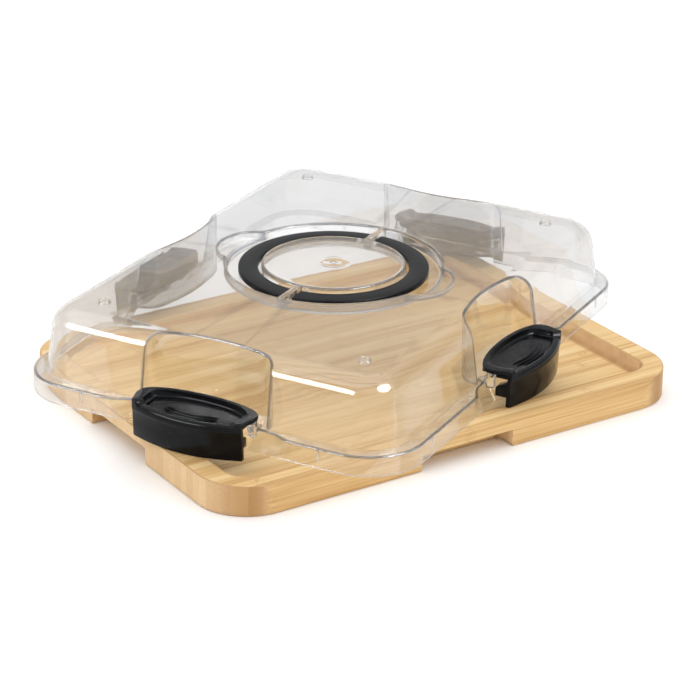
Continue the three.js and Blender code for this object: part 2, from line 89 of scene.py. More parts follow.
# Lid, in its own frame with heights above the lower edge of its skirt
LID_LONG = 386.2
LID_WIDE = 297.6
LID_CORNER = 41
LID_WALL = 2
SKIN = LID_WALL / 2
LID_HIGH = 60.3
SKIRT_HIGH = 14.5
FLANGE = 9
DRAFT = 4.5  # how far the dome's wall leans in
SHOULDER = 17
DIP = 7  # how far the skirt steps in beside a latch
DIP_START = 72
DIP_END = 52
GAP_HALF = 39.5
GAP_DEEP = 11  # cut-back of the flange in front of a recess
RECESS_HALF = 48
RECESS_DEEP = 31
RECESS_BOW = 4
RECESS_CORNER = 14
SUPPORT = 1.1  # distance of the loops that keep an edge crisp
SPACER_X = 137
SPACER_Y = 92
SPACER_HALF = 0.8
SPACER_LOW = 4.7
SPACER_HIGH = 12.9
SPACER_EDGE = 0.3

# Handle well
WELL_RADIUS = 77
WELL_DEEP = 8
ISLAND_RADIUS = 52
SCOOP_MIDDLE = 70
SCOOP_REACH = 91
SCOOP_HALF = 27
SCOOP_DEEP = 5
BRIDGE_HALF = 2.6
BRIDGE_EDGE = 0.6
NUB_X = 145.3
NUB_Y = 101.2
NUB_RADIUS = 4.5
NUB_BORE = 3.1
NUB_HIGH = 1.7
NUB_SINK = 0.4
NUB_EASE = 0.35
DIMPLE_RADIUS = 10
DIMPLE_DEEP = 0.7
GATE_RADIUS = 2.2  # the moulding gate's mark in the dimple
GATE_HIGH = 0.3

# Handle halves
RING_INNER = 54.3
RING_OUTER = 68.6
RING_THICK = 4.2
RING_END = 3.6  # distance of the half rings' ends from the fold's axis
RING_ROUND = 1.0

# Latches: u along the side, v outward from the pivot, w up
PIVOT_OUTSET = -3
EAR_U = 42
EAR_V = 15.5
TIP_U = 45.5  # the pointed end behind each ear
TIP_V = 4.5
INNER_V = 15.2
INNER_FULLNESS = 0.95
LIP_BOW = 9
LIP_DROP = 2.4
LIP_ROUND = 2.6
LIP_REACH = 2.7
EDGE_ROUND = 0.7
LATCH_TOP = 5
LATCH_LOW = -22.5
BODY_U = 38.4
APRON_LEAN = 1.4
APRON_WALL = 2.5
BOSS_NEAR = 39.3
BOSS_FAR = 44.3
BOSS_RADIUS = 2.7
LUG_DROP = 4
LUG_ARM = 9
LUG_ARM_RISE = 1.5
LUG_ARM_LIFT = 2
LUG_EDGE = 0.4

# ---------------------------------------------------------------- frames

def joint_point(name):
    return Vector(JOINTS[name]["pos_m"])


LID_AXIS = Vector(JOINTS["handle_back_fold"]["axis"])
LID_TURN = math.atan2(LID_AXIS.y, LID_AXIS.x)
LID_MIDDLE = (joint_point("handle_back_fold") + joint_point("handle_front_fold")) / 2
LID_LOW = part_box("lid_shell")[0].z
LID = (
    Matrix.Translation((LID_MIDDLE.x, LID_MIDDLE.y, LID_LOW))
    @ Matrix.Rotation(LID_TURN, 4, "Z")
    @ Matrix.Scale(MM, 4)
)
TRAY = Matrix.Scale(MM, 4)
SIDES = [
    ("front", 0, LID_WIDE / 2),
    ("right", 90, LID_LONG / 2),
    ("back", 180, LID_WIDE / 2),
    ("left", 270, LID_LONG / 2),
]
PIVOT_HIGH = (joint_point("latch_front_swing").z - LID_LOW) / MM


def latch_frame(turn, reach):
    """u to the right, v outward and w up at a latch's pivot, as seen from outside."""
    outward = Matrix(((1, 0, 0, 0), (0, -1, 0, 0), (0, 0, 1, 0), (0, 0, 0, 1)))
    place = Matrix.Translation((0, -reach - PIVOT_OUTSET, PIVOT_HIGH))
    return LID @ Matrix.Rotation(math.radians(turn), 4, "Z") @ place @ outward


# ---------------------------------------------------------------- mesh helpers

def blend(a, b, t):
    return a + (b - a) * t


def smooth_step(t):
    t = min(1, max(0, t))
    return t * t * (3 - 2 * t)


def spread(a, b, count):
    """count values from a to b, both included."""
    return [blend(a, b, i / (count - 1)) for i in range(count)]


def shade(mesh, sharp_deg):
    """Turns the faces outward and shades them smooth, with edges above an angle left sharp."""
    work = bmesh.new()
    work.from_mesh(mesh)
    bmesh.ops.recalc_face_normals(work, faces=work.faces)
    work.to_mesh(mesh)
    work.free()
    mesh.shade_smooth()
    if sharp_deg is not None:
        mesh.set_sharp_from_angle(angle=math.radians(sharp_deg))


def new_piece(name, shape, place, sharp_deg=None):
    """A mesh object from (points, faces) in a local frame, its faces turned outward."""
    points, faces = shape
    mesh = bpy.data.meshes.new(name)
    mesh.from_pydata([place @ Vector(p) for p in points], [], faces)
    mesh.validate()
    shade(mesh, sharp_deg)
    piece = bpy.data.objects.new(name, mesh)
    bpy.context.scene.collection.objects.link(piece)
    return piece


def settle(piece, *modifiers, sharp_deg=None):
    """Adds modifiers given as (type, settings) and applies them all to the mesh."""
    for kind, settings in modifiers:
        modifier = piece.modifiers.new(kind.lower(), kind)
        for key, value in settings.items():
            setattr(modifier, key, value)
    graph = bpy.context.evaluated_depsgraph_get()
    graph.update()
    mesh = bpy.data.meshes.new_from_object(piece.evaluated_get(graph))
    piece.modifiers.clear()
    piece.data = mesh
    shade(mesh, sharp_deg)


def skin(loops, close_first=False, close_last=False, wrap=False, skip=None):
    """Points and quads between closed loops of equal length.

    The ends are open, capped, or with wrap joined to each other. skip(row, column) leaves a face out.
    """
    count = len(loops[0])
    points = [p for loop in loops for p in loop]
    faces = []
    for row in range(len(loops) if wrap else len(loops) - 1):
        up = (row + 1) % len(loops) * count
        for i in range(count):
            if skip and skip(row, i):
                continue
            ahead = (i + 1) % count
            faces.append((row * count + i, row * count + ahead, up + ahead, up + i))
    if close_first:
        faces.append(tuple(reversed(range(count))))
    if close_last:
        first = (len(loops) - 1) * count
        faces.append(tuple(range(first, first + count)))
    return points, faces


def capped(loops):
    return skin(loops, close_first=True, close_last=True)


def turned(x, y, turn):
    c, s = math.cos(math.radians(turn)), math.sin(math.radians(turn))
    return x * c - y * s, x * s + y * c


def finish_piece(piece, body, slot, material, *nodes):
    piece.data.materials.clear()
    piece.data.materials.append(material)
    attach(piece, body)
    if nodes:
        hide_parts(*nodes)


# ---------------------------------------------------------------- node material helpers

def new_material(name):
    material = bpy.data.materials.new(name)
    material.use_nodes = True
    nodes = material.node_tree.nodes
    nodes.clear()
    output = nodes.new("ShaderNodeOutputMaterial")
    shader = nodes.new("ShaderNodeBsdfPrincipled")
    material.node_tree.links.new(shader.outputs[0], output.inputs["Surface"])
    return material, material.node_tree, shader, output


def add(tree, kind, inputs=None, **settings):
    """A node with its settings and its inputs, each a value or another node's output."""
    node = tree.nodes.new("ShaderNode" + kind)
    for key, value in settings.items():
        setattr(node, key, value)
    for key, value in (inputs or {}).items():
        if isinstance(value, bpy.types.NodeSocket):
            tree.links.new(value, node.inputs[key])
        else:
            node.inputs[key].default_value = value
    return node


def maths(tree, operation, a, b=0.0, clamp=False):
    return add(tree, "Math", {0: a, 1: b}, operation=operation, use_clamp=clamp).outputs[0]


def ramp(tree, value, stops):
    """A colour ramp through (position, colour) stops."""
    node = add(tree, "ValToRGB", {"Fac": value})
    elements = node.color_ramp.elements
    while len(elements) < len(stops):
        elements.new(0.5)
    for element, (position, colour) in zip(elements, stops):
        element.position = position
        element.color = (*colour, 1)
    return node.outputs["Color"]


def mixed(tree, share, a, b, mode="MIX"):
    node = add(tree, "Mix", {"Factor": share, "A": a, "B": b}, data_type="RGBA", blend_type=mode)
    return node.outputs["Result"]


# ---------------------------------------------------------------- materials

STRIP_WIDE = 0.0078
NODE_EVERY = 0.27
LONG_GRAIN = [
    (0.30, (0.480, 0.265, 0.095)),
    (0.42, (0.655, 0.405, 0.165)),
    (0.50, (0.745, 0.498, 0.225)),
    (0.60, (0.805, 0.580, 0.290)),
    (0.74, (0.860, 0.665, 0.385)),
]
GROWTH_JOINT = (0.42, 0.235, 0.085, 1)
GLUE_LINE = (0.50, 0.30, 0.12, 1)
END_SQUARE_ON = (0.82, 0.585, 0.34, 1)
END_ASKANCE = (0.38, 0.185, 0.058, 1)
END_BUNDLE = (0.36, 0.19, 0.07, 1)
END_STRIP = (0.56, 0.34, 0.15, 1)


def bamboo():
    """Glued strips along X: long fibres, a tone for each strip, growth joints and end grain."""
    material, tree, shader, _ = new_material("bamboo")
    place = add(tree, "TexCoord").outputs["Object"]
    xyz = add(tree, "SeparateXYZ", {"Vector": place})
    x, y, z = xyz.outputs["X"], xyz.outputs["Y"], xyz.outputs["Z"]
    strip = maths(tree, "FLOOR", maths(tree, "DIVIDE", y, STRIP_WIDE))
    tone = add(tree, "TexWhiteNoise", {"W": strip}, noise_dimensions="1D").outputs["Value"]
    other_seed = maths(tree, "ADD", strip, 31.7)
    other = add(tree, "TexWhiteNoise", {"W": other_seed}, noise_dimensions="1D").outputs["Value"]
    shifted_x = maths(tree, "ADD", x, maths(tree, "MULTIPLY", other, 3.0))
    shifted = add(tree, "CombineXYZ", {"X": shifted_x, "Y": y, "Z": z}).outputs[0]

    def grain(scale_x, scale_yz, detail, rough=0.6):
        stretched = add(tree, "Mapping", {"Vector": shifted, "Scale": (scale_x, scale_yz, scale_yz)})
        noise = add(tree, "TexNoise", {
            "Vector": stretched.outputs[0],
            "Scale": 1.0,
            "Detail": detail,
            "Roughness": rough,
        })
        return noise.outputs["Fac"]

    broad = grain(3.5, 160, 3)
    fine = grain(9, 900, 4, 0.7)
    fibre = grain(14, 1900, 2, 0.5)
    mix = maths(tree, "ADD", maths(tree, "MULTIPLY", broad, 0.5), maths(tree, "MULTIPLY", fine, 0.5))
    mix = maths(tree, "ADD", mix, maths(tree, "MULTIPLY", maths(tree, "SUBTRACT", tone, 0.5), 0.16))
    colour = ramp(tree, mix, LONG_GRAIN)

    # Growth joints: a narrow speckled band at an odd place along each strip
    along = maths(tree, "FRACT", maths(tree, "ADD", maths(tree, "DIVIDE", x, NODE_EVERY), other))
    off = maths(tree, "ABSOLUTE", maths(tree, "SUBTRACT", along, 0.5))
    band = maths(tree, "SUBTRACT", 1.0, maths(tree, "MULTIPLY", off, 42.0), clamp=True)
    speckle = add(tree, "TexNoise", {"Vector": place, "Scale": 700.0, "Detail": 2.0}).outputs["Fac"]
    specks = maths(tree, "MULTIPLY", maths(tree, "SUBTRACT", speckle, 0.42), 3.2, clamp=True)
    knot = maths(tree, "MULTIPLY", band, specks)
    colour = mixed(tree, maths(tree, "MULTIPLY", knot, 0.75, clamp=True), colour, GROWTH_JOINT)

    # End grain: fibre bundles seen as dots, darkest where a face is askance to the fibres
    normal = add(tree, "NewGeometry").outputs["Normal"]
    facing = add(tree, "SeparateXYZ", {"Vector": normal}).outputs["X"]
    toward_end = maths(tree, "ABSOLUTE", facing)
    end = maths(tree, "MULTIPLY", maths(tree, "SUBTRACT", toward_end, 0.08), 5.0, clamp=True)
    askance = maths(tree, "MULTIPLY", toward_end, maths(tree, "SUBTRACT", 1.0, toward_end))
    askance = maths(tree, "MULTIPLY", askance, 4.0)
    bundles = add(tree, "Mapping", {"Vector": shifted, "Scale": (20, 800, 800)})
    dots = add(tree, "TexVoronoi", {"Vector": bundles.outputs[0], "Scale": 1.0}).outputs["Distance"]
    dark = maths(tree, "SUBTRACT", 1.0, maths(tree, "MULTIPLY", dots, 2.6), clamp=True)
    ends = mixed(tree, maths(tree, "MULTIPLY", askance, 0.9), END_SQUARE_ON, END_ASKANCE)
    ends = mixed(tree, maths(tree, "MULTIPLY", dark, 0.6), ends, END_BUNDLE)
    ends = mixed(tree, maths(tree, "MULTIPLY", tone, 0.5), ends, END_STRIP)
    colour = mixed(tree, maths(tree, "MULTIPLY", end, 0.9), colour, ends)

    # The glue line between two strips
    across = maths(tree, "FRACT", maths(tree, "DIVIDE", y, STRIP_WIDE))
    off_middle = maths(tree, "ABSOLUTE", maths(tree, "SUBTRACT", across, 0.5))
    seam = maths(tree, "GREATER_THAN", off_middle, 0.485)
    colour = mixed(tree, maths(tree, "MULTIPLY", seam, 0.30), colour, GLUE_LINE)

    tree.links.new(colour, shader.inputs["Base Color"])
    rough = maths(tree, "ADD", maths(tree, "MULTIPLY", fibre, 0.22), 0.42)
    tree.links.new(rough, shader.inputs["Roughness"])
    height = maths(tree, "ADD", fibre, maths(tree, "MULTIPLY", dark, maths(tree, "MULTIPLY", end, 0.5)))
    bump = add(tree, "Bump", {"Height": height, "Strength": 0.10, "Distance": 0.0004})
    tree.links.new(bump.outputs[0], shader.inputs["Normal"])
    shader.inputs["Specular IOR Level"].default_value = 0.2
    return material


STRAIGHT_THROUGH = 0.15
# The last stop is painted dark reflection at grazing angles, partly also absorption in a wall seen
# edge-on.
CLEAR_TINT_AND_PAINTED_DARK_EDGE = [(0.80, (0.905, 0.908, 0.912)), (0.96, (0.36, 0.38, 0.44))]
# The colour of painted dark reflection lines along the shell's tight bends, and how strongly they are
# painted.
BEND_PAINTED_DARK_LINE = (0.10, 0.11, 0.15, 1)
BEND_DARK_LINE_STRENGTH = 0.8
OPEN_TINT = (0.985, 0.985, 0.985, 1)


def clear_plastic():
    """Moulded acrylic, darker at its rims and bends by painted dark reflection; light on its way to
    other surfaces isn't bent.
    """
    material, tree, shader, output = new_material("clear_plastic")
    # Painted dark reflection: the base colour darkens where the surface is seen at a grazing angle, in
    # part standing for absorption in a wall seen edge-on.
    edge = add(tree, "LayerWeight", {"Blend": 0.5}).outputs["Facing"]
    tint_with_painted_dark_lines = ramp(tree, edge, CLEAR_TINT_AND_PAINTED_DARK_EDGE)
    # Painted dark reflection lines along the shell's tight bends.
    bend = add(tree, "Attribute", attribute_name="bend").outputs["Fac"]
    tint_with_painted_dark_lines = mixed(tree, maths(tree, "MULTIPLY", bend, BEND_DARK_LINE_STRENGTH, clamp=True), tint_with_painted_dark_lines, BEND_PAINTED_DARK_LINE)
    tree.links.new(tint_with_painted_dark_lines, shader.inputs["Base Color"])
    shader.inputs["Transmission Weight"].default_value = 1.0
    shader.inputs["IOR"].default_value = 1.49
    place = add(tree, "TexCoord").outputs["Object"]
    flow = add(tree, "TexNoise", {"Vector": place, "Scale": 55.0, "Detail": 2.0}).outputs["Fac"]
    haze = maths(tree, "ADD", maths(tree, "MULTIPLY", flow, 0.02), 0.005)
    tree.links.new(haze, shader.inputs["Roughness"])
    bump = add(tree, "Bump", {"Height": flow, "Strength": 0.015, "Distance": 0.001})
    tree.links.new(bump.outputs[0], shader.inputs["Normal"])
    open_shader = add(tree, "BsdfTransparent", {"Color": OPEN_TINT})
    path = add(tree, "LightPath").outputs
    lighting = maths(tree, "MAXIMUM", path["Is Shadow Ray"], path["Is Diffuse Ray"])
    share = maths(tree, "MAXIMUM", lighting, STRAIGHT_THROUGH)
    mix = add(tree, "MixShader", {0: share, 1: shader.outputs[0], 2: open_shader.outputs[0]})
    tree.links.new(mix.outputs[0], output.inputs["Surface"])
    return material


BLACK_TONES = [(0.3, (0.0030, 0.0034, 0.0042)), (0.7, (0.0070, 0.0075, 0.0088))]
STEEL_TONES = [(0.3, (0.42, 0.42, 0.43)), (0.7, (0.60, 0.60, 0.61))]


def black_plastic(name, roughness, speck):
    """Moulded black plastic with a fine satin texture and slight tone changes."""
    material, tree, shader, _ = new_material(name)
    place = add(tree, "TexCoord").outputs["Object"]
    cloud = add(tree, "TexNoise", {"Vector": place, "Scale": 60.0, "Detail": 3.0}).outputs["Fac"]
    colour = ramp(tree, cloud, BLACK_TONES)
    tree.links.new(colour, shader.inputs["Base Color"])
    grain = add(tree, "TexNoise", {"Vector": place, "Scale": 2600.0, "Detail": 1.0}).outputs["Fac"]
    rough = maths(tree, "ADD", maths(tree, "MULTIPLY", cloud, 0.08), roughness)
    tree.links.new(rough, shader.inputs["Roughness"])
    bump = add(tree, "Bump", {"Height": grain, "Strength": speck, "Distance": 0.0001})
    tree.links.new(bump.outputs[0], shader.inputs["Normal"])
    shader.inputs["Specular IOR Level"].default_value = 0.12
    return material


def steel():
    """Drawn steel wire for the pins."""
    material, tree, shader, _ = new_material("steel")
    place = add(tree, "TexCoord").outputs["Object"]
    scratch = add(tree, "TexNoise", {"Vector": place, "Scale": 1500.0, "Detail": 2.0}).outputs["Fac"]
    colour = ramp(tree, scratch, STEEL_TONES)
    tree.links.new(colour, shader.inputs["Base Color"])
    rough = maths(tree, "ADD", maths(tree, "MULTIPLY", scratch, 0.2), 0.22)
    tree.links.new(rough, shader.inputs["Roughness"])
    shader.inputs["Metallic"].default_value = 1.0
    return material


BAMBOO = bamboo()
CLEAR = clear_plastic()
LATCH_BLACK = black_plastic("latch_black", 0.10, 0.03)
RING_BLACK = black_plastic("ring_black", 0.26, 0.08)
STEEL = steel()

# ---------------------------------------------------------------- outlines with a bite in each side

CORNER_STEPS = 12


def ring_loop(half_x, half_y, radius, z, side_points):
    """One closed loop, anticlockwise from the front side; side_points(end) gives (t, inward) pairs."""
    loop = []
    for turn in (0, 90, 180, 270):
        half, reach = (half_x, half_y) if turn % 180 == 0 else (half_y, half_x)
        for t, inward in side_points(half - radius):
            loop.append((*turned(t, inward - reach, turn), z))
        for k in range(1, CORNER_STEPS):
            angle = math.radians(-90 + 90 * k / CORNER_STEPS)
            x = half - radius + radius * math.cos(angle)
            y = radius - reach + radius * math.sin(angle)
            loop.append((*turned(x, y, turn), z))
    return loop


def mirrored(half_side):
    """A whole side from its first half, which runs from the corner (negative t) to the middle."""
    return half_side + [(-t, inward) for t, inward in reversed(half_side[:-1])]


# ---------------------------------------------------------------- tray

NOTCH_SIDE = [0, 0.5, 1.0]
NOTCH_TURNS = 6
NOTCH_LEAD = 0.8
UNDER_INSET = 6
UNDER_GROW = 3
COVE_DEGREES = (0, 15, 30, 45, 60, 75, 90)


def tray_side(notch, grow=0.0, inset=0.0):
    """Columns along a side of the tray; with a notch they follow its walls."""
    def points(end):
        half = NOTCH_HALF + grow
        straight = [(-t, 0) for t in spread(end, half + NOTCH_LEAD, 9)]
        if not notch:
            inner = spread(half, 0, len(NOTCH_SIDE) + NOTCH_TURNS + 4)
            return mirrored(straight + [(-t, 0) for t in inner])
        depth = NOTCH_DEEP + grow - inset
        radius = NOTCH_ROUND + grow
        wall = [(-half, (depth - radius) * s) for s in NOTCH_SIDE]
        turns = []
        for k in range(1, NOTCH_TURNS + 1):
            angle = math.radians(90 * k / NOTCH_TURNS)
            t = radius - half - radius * math.cos(angle)
            turns.append((t, depth - radius + radius * math.sin(angle)))
        back = [(-t, depth) for t in spread(half - radius, 0, 5)[1:]]
        return mirrored(straight + wall + turns + back)
    return points


def tray_loop(z, inset, corner, side_points):
    return ring_loop(TRAY_LONG / 2 - inset, TRAY_WIDE / 2 - inset, corner - inset, z, side_points)


def tray_board():
    """The board in one skin: underside, notched outer wall, rim, and the coved pocket inside it."""
    def outer(z, inset, notch, grow=0.0):
        return tray_loop(z, inset, TRAY_CORNER, tray_side(notch, grow, inset))

    def pocket(z, inset):
        return tray_loop(z, inset, POCKET_CORNER + RIM_WIDE, tray_side(False))

    ease = TRAY_EASE
    eased = ease * (1 - math.sqrt(0.5))
    loops = [
        outer(0, UNDER_INSET, True, UNDER_GROW),
        outer(0, ease, True, NOTCH_FLARE),
        outer(eased, eased, True, NOTCH_FLARE * 0.4),
        outer(ease, 0, True, NOTCH_FLARE * 0.15),
        outer(ease * 2.5, 0, True),
        outer(NOTCH_HIGH, 0, True),
        outer(NOTCH_HIGH + 0.02, 0, False),
        outer(TRAY_THICK - ease, 0, False),
        outer(TRAY_THICK - eased, eased, False),
        outer(TRAY_THICK, ease, False),
        outer(TRAY_THICK, ease * 2, False),
        pocket(TRAY_THICK, RIM_WIDE - ease * 2),
        pocket(TRAY_THICK, RIM_WIDE - ease),
        pocket(TRAY_THICK - eased, RIM_WIDE - eased),
        pocket(TRAY_THICK - ease, RIM_WIDE),
    ]
    for degrees in COVE_DEGREES:
        fall = math.radians(degrees)
        inset = RIM_WIDE + POCKET_COVE * (1 - math.cos(fall))
        loops.append(pocket(POCKET_FLOOR + POCKET_COVE * (1 - math.sin(fall)), inset))
    piece = new_piece("tray_board_bamboo", capped(loops), TRAY, sharp_deg=38)
    finish_piece(piece, "tray", "bamboo", BAMBOO, "tray_board")


# ---------------------------------------------------------------- lid: middle surface of the wall

# Columns of a side: t in front of a recess and beside one, and steps along a recess wall
EDGE_T = [49, 47.5, 45.5, 43.5, 41.5, GAP_HALF, 34, 27, 20, 13, 6, 0]
STRAIGHT_T = [76, 72, 68, 64, 60, 56, 52, 50.6]
BITE_STEPS = [0, 1.6, 4, 8, 12, 16, 20, 25, 31, 40, 50]
SKIRT_ROWS = (0, 2, 6, 10)
SHOULDER_DEGREES = (12, 24, 36, 48, 60, 70, 80, 90)
BITE_HALF = RECESS_HALF + SKIN
BITE_ROUND = RECESS_CORNER + SKIN
BITE_DEPTH = RECESS_DEEP + SKIN
GAP_COLUMN = EDGE_T.index(GAP_HALF)
GAP_ROWS = 7
CORNER_COLUMNS = 3

# Bends of the wall, in degrees between neighbouring faces; the clear material paints dark reflection
# lines along them
BEND_FROM = 24
BEND_FADE = 24
BEND_INWARD = 0.35


def bite_at(q, grow=0.0):
    """A point of the recess wall at a distance q from its middle: (t, inward)."""
    flat = BITE_HALF - BITE_ROUND
    radius = BITE_ROUND + grow
    quarter = BITE_ROUND * math.pi / 2
    root = BITE_DEPTH - RECESS_BOW - BITE_ROUND
    if q <= flat:
        return q, BITE_DEPTH + grow - RECESS_BOW * (q / flat) ** 2
    if q <= flat + quarter:
        angle = (q - flat) / BITE_ROUND
        return flat + radius * math.sin(angle), root + radius * math.cos(angle)
    return flat + radius, root - (q - flat - quarter)


def bite_turn(inset):
    """How far from the middle of the recess wall the dome's wall meets it, at the dome's inset."""
    flat = BITE_HALF - BITE_ROUND
    root = BITE_DEPTH - RECESS_BOW - BITE_ROUND
    if inset <= root:
        return flat + BITE_ROUND * math.pi / 2 + root - inset
    if inset < root + BITE_ROUND:
        return flat + BITE_ROUND * math.acos((inset - root) / BITE_ROUND)
    return flat * math.sqrt(max(0, (BITE_DEPTH - inset) / RECESS_BOW))


def dip_at(t, depth):
    return depth * smooth_step((DIP_START - abs(t)) / (DIP_START - DIP_END))


def straight_ts(end, turn):
    """Columns between a corner and a recess, drawn in as the recess narrows."""
    base = EDGE_T[0]
    ts = spread(end, STRAIGHT_T[0], CORNER_COLUMNS + 1)[:-1] + STRAIGHT_T
    share = [(t - base) / (end - base) for t in ts]
    return [turn + (end - turn) * s for s in share]


def rim_side(dip, foot_share=0.0, edge_inset=0.0):
    """Columns of skirt and flange; foot_share moves those in front of a recess toward its foot."""
    def points(end):
        half = [(-t, dip_at(t, dip)) for t in straight_ts(end, EDGE_T[0])]
        reach = bite_turn(FLANGE + SKIN)
        for k, t in enumerate(EDGE_T):
            q = reach - BITE_STEPS[k] if k < len(BITE_STEPS) else 0
            foot_t, foot_d = bite_at(q, -SUPPORT)
            foot_t = blend(t, foot_t, foot_share)
            half.append((-foot_t, blend(dip_at(t, dip), foot_d - edge_inset, foot_share)))
        return mirrored(half)
    return points


def gap_side(edge_inset):
    """The flange's cut-back edge in front of a recess, at a fixed depth."""
    def points(end):
        half = [(-t, dip_at(t, DIP) * 0.5) for t in straight_ts(end, EDGE_T[0])]
        for k, t in enumerate(EDGE_T):
            share = min(1, k / GAP_COLUMN)
            half.append((-t, blend(dip_at(t, DIP) * 0.5, GAP_DEEP - edge_inset, smooth_step(share))))
        return mirrored(half)
    return points


def dome_side(inset):
    """Columns of the dome at an inset, following the recess wall."""
    def points(end):
        reach = bite_turn(inset)
        turn_t = bite_at(reach)[0]
        half = [(-t, 0) for t in straight_ts(end, turn_t)]
        total = bite_turn(FLANGE + SKIN)
        for k in range(len(EDGE_T)):
            step = BITE_STEPS[k] if k < len(BITE_STEPS) else total
            if k > 1:
                step *= reach / total
            elif k == 1:
                step = min(step, reach / len(EDGE_T))
            t, inward = bite_at(max(0, reach - step))
            half.append((-t, inward - inset))
        return mirrored(half)
    return points


def lid_loop(z, inset, side_points):
    return ring_loop(LID_LONG / 2 - inset, LID_WIDE / 2 - inset, LID_CORNER - inset, z, side_points)


def lid_rows():
    """Loops of the middle surface from the skirt's lower edge to the edge of the flat top."""
    flange = SKIRT_HIGH - SKIN
    foot = FLANGE + SKIN
    rows = []
    for z in (*SKIRT_ROWS, flange - SUPPORT):
        rows.append(lid_loop(z, SKIN, rim_side(DIP * z / flange)))
    rows.append(lid_loop(flange, SKIN, rim_side(DIP)))
    rows.append(lid_loop(flange, SKIN + SUPPORT, rim_side(DIP * 0.9)))
    rows.append(lid_loop(flange, foot / 2, gap_side(foot / 2)))
    rows.append(lid_loop(flange, foot - SUPPORT, rim_side(0, 1.0, foot - SUPPORT)))
    lean = DRAFT / (LID_HIGH - SHOULDER - flange)
    for z in (flange, flange + SUPPORT, flange + 5, 28, 36, LID_HIGH - SHOULDER):
        inset = foot + lean * (z - flange)
        rows.append(lid_loop(z, inset, dome_side(inset)))
    radius = SHOULDER - SKIN
    for degrees in SHOULDER_DEGREES:
        rise = math.radians(degrees)
        inset = FLANGE + DRAFT + SHOULDER - radius * math.cos(rise)
        rows.append(lid_loop(LID_HIGH - SHOULDER + radius * math.sin(rise), inset, dome_side(inset)))
    return rows


def in_gap(row, column):
    """True for the faces of skirt and flange that are cut away in front of each recess."""
    per_half = len(EDGE_T) + len(STRAIGHT_T) + CORNER_COLUMNS
    per_side = 2 * per_half - 1 + CORNER_STEPS - 1
    middle = per_half - 1
    half_gap = len(EDGE_T) - 1 - GAP_COLUMN
    return row < GAP_ROWS and abs((column % per_side) + 0.5 - middle) < half_gap


# ---------------------------------------------------------------- lid: handle well

WELL_COLUMNS = 120


def scoop_rim(angle, grow):
    """Radius of the well's rim: the groove, widened by a finger scoop at each side."""
    radius = WELL_RADIUS + grow
    c, s = math.cos(angle), abs(math.sin(angle))
    a, b = SCOOP_HALF + grow, SCOOP_REACH - SCOOP_MIDDLE + grow
    qa = (c / a) ** 2 + (s / b) ** 2
    qb = -2 * s * SCOOP_MIDDLE / b**2
    qc = (SCOOP_MIDDLE / b) ** 2 - 1
    inside = qb * qb - 4 * qa * qc
    if inside > 0:
        radius = max(radius, (-qb + math.sqrt(inside)) / (2 * qa))
    return radius


def well_loop(z, radius_at):
    angles = [2 * math.pi * k / WELL_COLUMNS for k in range(WELL_COLUMNS)]
    return [(radius_at(a) * math.cos(a), radius_at(a) * math.sin(a), z) for a in angles]


def well_rows():
    """Loops from the flat top down into the groove, over the island and into its dimple."""
    top = LID_HIGH - SKIN
    scoop = LID_HIGH - SCOOP_DEEP - SKIN
    low = LID_HIGH - WELL_DEEP - SKIN
    wall = WELL_RADIUS + SKIN
    island = ISLAND_RADIUS - SKIN

    def rim(extra, share=1.0):
        return lambda a: wall + (scoop_rim(a, SKIN) - wall) * share + extra

    rows = [
        (top, rim(6)),
        (top, rim(SUPPORT)),
        (top, rim(0)),
        (top - SUPPORT, rim(0)),
        (scoop + SUPPORT, rim(0)),
        (scoop + 0.35, rim(0, 0.97)),
        (scoop + 0.05, rim(0, 0.85)),
        (scoop - 0.05, rim(0, 0.20)),
        (scoop - 0.4, rim(0, 0.04)),
        (low + SUPPORT, rim(0, 0)),
        (low, rim(0, 0)),
        (low, rim(-SUPPORT, 0)),
    ]
    dimple = top - DIMPLE_DEEP
    rounds = [((wall + island) / 2, low), (island + SUPPORT, low), (island, low)]
    rounds += [(island, low + SUPPORT), (island, top - SUPPORT), (island, top), (island - SUPPORT, top)]
    rounds += [(island - 8, top), (28, top)]
    rounds += [(DIMPLE_RADIUS + 1, top), (DIMPLE_RADIUS, top - 0.1), (DIMPLE_RADIUS - 2, dimple)]
    rounds += [(GATE_RADIUS + 1, dimple), (GATE_RADIUS, dimple + GATE_HIGH), (0.8, dimple + GATE_HIGH)]
    loops = [well_loop(z, radius_at) for z, radius_at in rows]
    loops += [well_loop(z, lambda a, r=radius: r) for radius, z in rounds]
    return loops


def ring_fill(outer, inner, first_outer, first_inner):
    """Triangles between two flat loops of different counts, walking both by angle."""
    def angles(loop):
        values = [math.atan2(p[1], p[0]) for p in loop]
        start = min(range(len(loop)), key=lambda i: abs(values[i] + math.pi / 2))
        order = [(start + i) % len(loop) for i in range(len(loop))]
        unwrapped = []
        for i in order:
            value = values[i]
            last = unwrapped[-1][0] if unwrapped else value
            while value < last - math.pi:
                value += 2 * math.pi
            unwrapped.append((max(value, last), i))
        return unwrapped + [(unwrapped[0][0] + 2 * math.pi, unwrapped[0][1])]

    a, b = angles(outer), angles(inner)
    faces = []
    i = j = 0
    while i < len(a) - 1 or j < len(b) - 1:
        if j == len(b) - 1 or (i < len(a) - 1 and a[i + 1][0] < b[j + 1][0]):
            faces.append((first_outer + a[i][1], first_outer + a[i + 1][1], first_inner + b[j][1]))
            i += 1
        else:
            faces.append((first_outer + a[i][1], first_inner + b[j + 1][1], first_inner + b[j][1]))
            j += 1
    return faces


